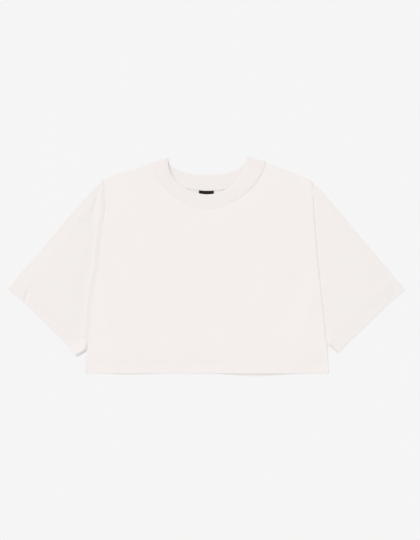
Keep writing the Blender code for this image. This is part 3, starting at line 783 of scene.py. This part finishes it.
rest_count = rib_total - rib_counts[0]  # the columns of the back half and both folds
front_shares = np.linspace(0.0, 1.0, rib_counts[0])
front_middle = np.sin(front_shares * np.pi)
level_line = smooth_line(np.array(RIB_FRONT_TABLE))
edge_level, seam_level, seam_fall, front_cap = (
    np.interp(front_shares, level_line[:, 0], column) for column in level_line.T[1:])
inner_ring = rib_ring(front_edge, back_edge_line, edge_level, RIB_BACK_LEVEL, rib_counts)
outer_ring = rib_ring(front_seam, back_seam, seam_level, RIB_BACK_LEVEL, rib_counts)
band_width = np.linalg.norm(outer_ring - inner_ring, axis=1)
cap = np.linspace(0.0, np.pi / 2, CAP_ROWS)
cap_reach = np.concatenate([front_cap, np.full(rest_count, RIB_CAP)])
cap_depth, cap_height = cap_reach * (1 - np.cos(cap))[:, None], np.sin(cap)
seam_depth = np.linspace(0.0, RIB_SEAM_STRIP, CAP_ROWS)
flat_part = np.linspace(0.0, 1.0, FLAT_ROWS)[1:-1]


def band_section(width):
    """Round the band's section, over the top and back underneath: distance from the free edge, height, turn.

    The height is a share of the half wall, up a quarter of a circle at the free edge. The turn is 1 at the
    seam and 0 from the strip on. Both are less than nothing underneath.
    """
    out = np.concatenate([
        cap_depth,
        cap_depth[-1] + flat_part[:, None] * (width - cap_depth[-1] - seam_depth[-1]),
        width - seam_depth[::-1, None],
    ])
    high = np.concatenate([cap_height, np.ones(len(flat_part) + CAP_ROWS)])
    turn = np.concatenate([np.zeros(len(flat_part) + CAP_ROWS), 1 - sewn(seam_depth[::-1] / seam_depth[-1])])
    under = slice(None, 0, -1)
    return [np.concatenate([top, sign * top[under]]) for top, sign in ((out, 1), (high, -1), (turn, -1))]


section_out, section_high, section_turn = band_section(band_width)
share = section_out / band_width
middle = inner_ring + share[..., None] * (outer_ring - inner_ring)
crown = RIB_CROWN * 4 * share * (1 - share)
middle[..., 2] += crown * np.concatenate([front_middle, np.zeros(rest_count)])
around_step = np.roll(middle, -1, axis=1) - np.roll(middle, 1, axis=1)
out_step = np.broadcast_to(outer_ring - inner_ring, middle.shape)
band_normal = unit(np.cross(around_step, out_step))
ribs = np.cos(2 * np.pi * np.arange(rib_total) / COLUMNS_PER_RIB)
band_wall = RIB_HALF_WALL + RIB_RELIEF * ribs
seam_falls = np.concatenate([seam_fall, np.full(rest_count, RIB_BACK_SEAM_FALL)])
band_half = section_high[:, None] * band_wall - section_turn[:, None] * seam_falls
rib_points = middle + band_normal * band_half[..., None]
rib_u = np.arange(rib_total + 1) * RIB_PITCH / COLUMNS_PER_RIB
rib_v = np.pad(np.where(section_high >= 0, 1.0, -1.0)[:, None] * section_out, ((0, 1), (0, 1)), mode="wrap")
rib_uv = np.stack([np.broadcast_to(rib_u, rib_v.shape), rib_v], axis=-1)
neck_rib_cloth = skin("neck_rib_cloth", rib_points, rib_uv, rib_knit, around=True, closed=True)
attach(neck_rib_cloth, "root")
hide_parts("neck_rib")

# ------------------------------------------------------------------------------
# The neck label. A short length of black woven satin tape, folded in two, whose ends are caught in
# the back's neck seam. It is bare.

LABEL_WIDTH, LABEL_OUT, LABEL_HANG = 0.0305, -0.0024, 0.0160
LABEL_WALL = 0.00035
LABEL_LEVEL = 0.0021
FOLD_RADIUS, FOLD_BOW = 0.0003, 0.0002  # of its fold, which bows up the back a little at its middle
SEAM_RISE, SEAM_RISE_SHARE = 0.00025, 0.1  # how the seam holds it up, and the share of it that is held
CURL, CURL_DOWN, CURL_ACROSS = 0.00015, 5.0, 2.2  # height of its slight curl, and the curl's angles
WARP_PITCH, WEFT_PITCH = 0.0004, 0.0006
LABEL_COLUMNS, LABEL_ROWS, LABEL_TURN_STEPS = 25, 17, 9

label_x = np.linspace(-LABEL_WIDTH / 2, LABEL_WIDTH / 2, LABEL_COLUMNS)
label_seam_y = np.interp(label_x + LABEL_OUT, BACK_NECK_SEAM[::-1, 0], BACK_NECK_SEAM[::-1, 1])
label_end_y = NECK_POINT_Y - BACK_SEAM_DEPTH - LABEL_HANG + FOLD_BOW * np.cos(label_x / LABEL_WIDTH * np.pi)
label_share = np.linspace(0.0, 1.0, LABEL_ROWS)[:, None]
top_run = label_seam_y + label_share * (label_end_y + FOLD_RADIUS - label_seam_y)
turn = np.linspace(0.0, np.pi, LABEL_TURN_STEPS)[1:-1, None]
label_top = LABEL_LEVEL + CURL * np.sin(label_share * CURL_DOWN) * np.cos(label_x / LABEL_WIDTH * CURL_ACROSS)
label_top += SEAM_RISE * np.exp(-label_share / SEAM_RISE_SHARE)
label_y = np.concatenate([top_run, label_end_y + FOLD_RADIUS - FOLD_RADIUS * np.sin(turn), top_run[::-1]])
fold_z = label_top[-1] - FOLD_RADIUS + FOLD_RADIUS * np.cos(turn)
label_z = np.concatenate([label_top, fold_z, label_top[::-1] - 2 * FOLD_RADIUS])
label_grid = np.stack([np.broadcast_to(label_x + LABEL_OUT, label_y.shape), label_y, label_z], axis=-1)


def ramp(tree, share, low, high):
    """A colour between low and high, by the share."""
    colour = node(tree, "ValToRGB", {"Fac": share})["Color"]
    elements = colour.node.color_ramp.elements
    elements[0].color, elements[1].color = (*low, 1.0), (*high, 1.0)
    return colour


satin, satin_tree, satin_shader = coating("label_tape", {
    "Roughness": 0.55, "Specular IOR Level": 0.15, "Sheen Weight": 0.02})
satin_split = node(satin_tree, "SeparateXYZ", {"Vector": node(satin_tree, "UVMap", {}, uv_map="cloth")["UV"]})
threads = [math(satin_tree, "SINE", math(satin_tree, "MULTIPLY", satin_split[axis], 2 * np.pi / pitch))
           for axis, pitch in (("X", WARP_PITCH), ("Y", WEFT_PITCH))]
woven = math(satin_tree, "MULTIPLY", *threads)
satin_bump = node(satin_tree, "Bump", {"Height": woven, "Strength": 0.4, "Distance": 0.00005})
satin_tree.links.new(satin_bump["Normal"], satin_shader.inputs["Normal"])
# Painted sheen: the black is lighter where the weave stands up and darker where it sinks.
painted_sheen_share = math(satin_tree, "MULTIPLY_ADD", woven, 0.5, 0.5)
satin_black_and_painted_sheen = ramp(satin_tree, painted_sheen_share, (0.0035, 0.003, 0.003), (0.014, 0.012, 0.0115))
satin_tree.links.new(satin_black_and_painted_sheen, satin_shader.inputs["Base Color"])
label_cloth = walled(skin("neck_label_tape", label_grid, flat_uv(label_grid), satin), LABEL_WALL)
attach(label_cloth, "root")
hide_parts("neck_label")

# ------------------------------------------------------------------------------
# The hem stitches. Two rows of cotton thread from a twin needle, all round the hem and both cuffs.
# Each stitch is a short rounded length of thread that sinks a little into the jersey.

STITCH_LENGTH, STITCH_PITCH, THREAD_RADIUS = 0.0024, 0.0031, 0.00024
# Along a stitch: places as shares of its length, and how thick it is there as shares of the thread
STITCH_PLACES = np.array((-0.5, -0.42, -0.25, 0.25, 0.42, 0.5))
STITCH_THICKNESS = np.array((0.15, 0.8, 1.0, 1.0, 0.8, 0.15))
STITCH_SIDES = 6
STANDS_OUT = 0.1  # share of the thread's radius by which its middle clears the cloth
WAY_STEP = 0.001  # how far ahead a line is read for its way
LEVEL_ENOUGH = 0.6  # a stitch that would stand on a fold itself, or dip under the floor, is left out
SEAM_COLUMNS = 4  # columns of a hem, next to a side seam, that have no stitches

thread = knit("thread", colour=(0.885, 0.842, 0.815), wale=0.0004, course=0.0004, depth=0.00005, sheen=0.05)


def stitches(lines, normals):
    """Stitches along lines on the cloth: six-sided tubes with narrow ends, each at its own place and way.

    A stitch's points are its centre, plus its way times a length, plus its side and its normal times a ring.
    """
    length, radius = STITCH_PLACES * STITCH_LENGTH, STITCH_THICKNESS * THREAD_RADIUS
    angle = np.linspace(0.0, 2 * np.pi, STITCH_SIDES + 1)[:-1]
    grids = []
    for line, normal in zip(lines, normals):
        run = run_along(line)
        middles = np.arange(STITCH_PITCH, run[-1] - STITCH_PITCH / 2, STITCH_PITCH)
        centre = read_at(line, run, middles)
        ahead = unit(read_at(line, run, middles + WAY_STEP) - centre)
        up = read_at(normal, run, middles)
        low_end = centre[:, 2] - np.abs(ahead[:, 2]) * STITCH_LENGTH / 2
        kept = (np.abs(up[:, 2]) > LEVEL_ENOUGH) & (low_end > 0.0)
        centre, ahead, up = centre[kept], ahead[kept], up[kept]
        beside = unit(np.cross(ahead, up))
        centre += up * (JERSEY_WALL / 2 + STANDS_OUT * THREAD_RADIUS)
        tube = centre[:, None, None] + ahead[:, None, None] * length[:, None, None]
        tube = tube + beside[:, None, None] * (radius[:, None] * np.cos(angle))[..., None]
        tube = tube + up[:, None, None] * (radius[:, None] * np.sin(angle))[..., None]
        grids.append(tube)
    return np.concatenate(grids)


def stitch_mesh(name, tubes):
    """One mesh of all the stitches: quads round each tube and a flat face on each end."""
    count, rings, sides = tubes.shape[:3]
    index = np.arange(count * rings * sides).reshape(count, rings, sides)
    ahead = np.roll(index, -1, axis=2)
    quads = np.stack([index[:, :-1], ahead[:, :-1], ahead[:, 1:], index[:, 1:]], axis=-1).reshape(-1, 4)
    ends = np.concatenate([index[:, 0, ::-1], index[:, -1]])
    mesh = bpy.data.meshes.new(name)
    mesh.from_pydata(tubes.reshape(-1, 3).tolist(), [], quads.tolist() + ends.tolist())
    ring, side = np.meshgrid(np.arange(rings), np.arange(sides), indexing="ij")
    place = np.stack([ring * STITCH_LENGTH / rings, side * THREAD_RADIUS], axis=-1)
    place = np.broadcast_to(place, (count, rings, sides, 2)).reshape(-1, 2)
    corners = np.empty(len(mesh.loops), dtype=np.int32)
    mesh.loops.foreach_get("vertex_index", corners)
    mesh.uv_layers.new(name="cloth").data.foreach_set("uv", place[corners].astype(np.float32).ravel())
    return shown(name, mesh, thread)


def needle_lines(outer, around, sign):
    """The lines of the outer cloth at the two stitch rows, and the normals along them."""
    grids = outer, outward(outer, around, sign)
    grids = [np.pad(grid, ((0, 0), (0, int(around)), (0, 0)), mode="wrap") for grid in grids]
    picks = [-1 - int(np.argmin(np.abs(HEM_STEPS - row))) for row in NEEDLE_ROWS]
    return [[grid[pick] for pick in picks] for grid in grids]


for name, outer, around, sign in (
    ("front_hem_stitches", front_outer[:, SEAM_COLUMNS:-SEAM_COLUMNS], False, 1.0),
    ("back_hem_stitches", back_outer[:, SEAM_COLUMNS:-SEAM_COLUMNS], False, -1.0),
    ("left_cuff_stitches", sleeves[1], True, -1.0),
    ("right_cuff_stitches", sleeves[-1], True, 1.0),
):
    piece = stitch_mesh(name, stitches(*needle_lines(outer, around, sign)))
    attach(piece, "root")

# ------------------------------------------------------------------------------
# The floor, the light and the camera. A plain pale floor, a large soft light from the upper left over
# an even white surround, and a camera straight above.

FLOOR_LEVEL = -0.0002
FLOOR_CORNERS = ((-6, -6), (6, -6), (6, 6), (-6, 6))

floor_mesh = bpy.data.meshes.new("floor")
floor_mesh.from_pydata([(x, y, FLOOR_LEVEL) for x, y in FLOOR_CORNERS], [], [(0, 1, 2, 3)])
floor = placed("floor", floor_mesh)
pale, pale_tree, pale_shader = coating("floor_paint", {
    "Roughness": 1.0, "Specular IOR Level": 0.0, "Emission Strength": 0.78,
    "Emission Color": (0.913, 0.913, 0.913, 1.0)})
pale_where = node(pale_tree, "TexCoord", {})["Object"]
pale_noise = node(pale_tree, "TexNoise", {"Vector": pale_where, "Scale": 3.0})["Fac"]
pale_colour = ramp(pale_tree, pale_noise, (0.198, 0.198, 0.198), (0.202, 0.202, 0.202))
pale_tree.links.new(pale_colour, pale_shader.inputs["Base Color"])
floor_mesh.materials.append(pale)

world = bpy.data.worlds.new("surround")
world.use_nodes = True
world.node_tree.nodes["Background"].inputs["Color"].default_value = (1.0, 1.0, 1.0, 1.0)
world.node_tree.nodes["Background"].inputs["Strength"].default_value = 0.715
bpy.context.scene.world = world

key_data = bpy.data.lights.new("key", "SUN")
key_data.angle = np.radians(28.0)
key_data.energy = 1.10
key = placed("key", key_data)
key.location = (-0.85, 0.80, 2.00)
key.rotation_euler = (-key.location).to_track_quat("-Z", "Y").to_euler()

camera_data = bpy.data.cameras.new("camera")
camera_data.sensor_fit = "VERTICAL"
camera_data.sensor_height = 24.0
camera_data.lens = 64.72
camera = placed("camera", camera_data)
camera.location = (0.00515, -0.0065, 3.0)
bpy.context.scene.camera = camera
bpy.context.scene.view_settings.view_transform = "Standard"
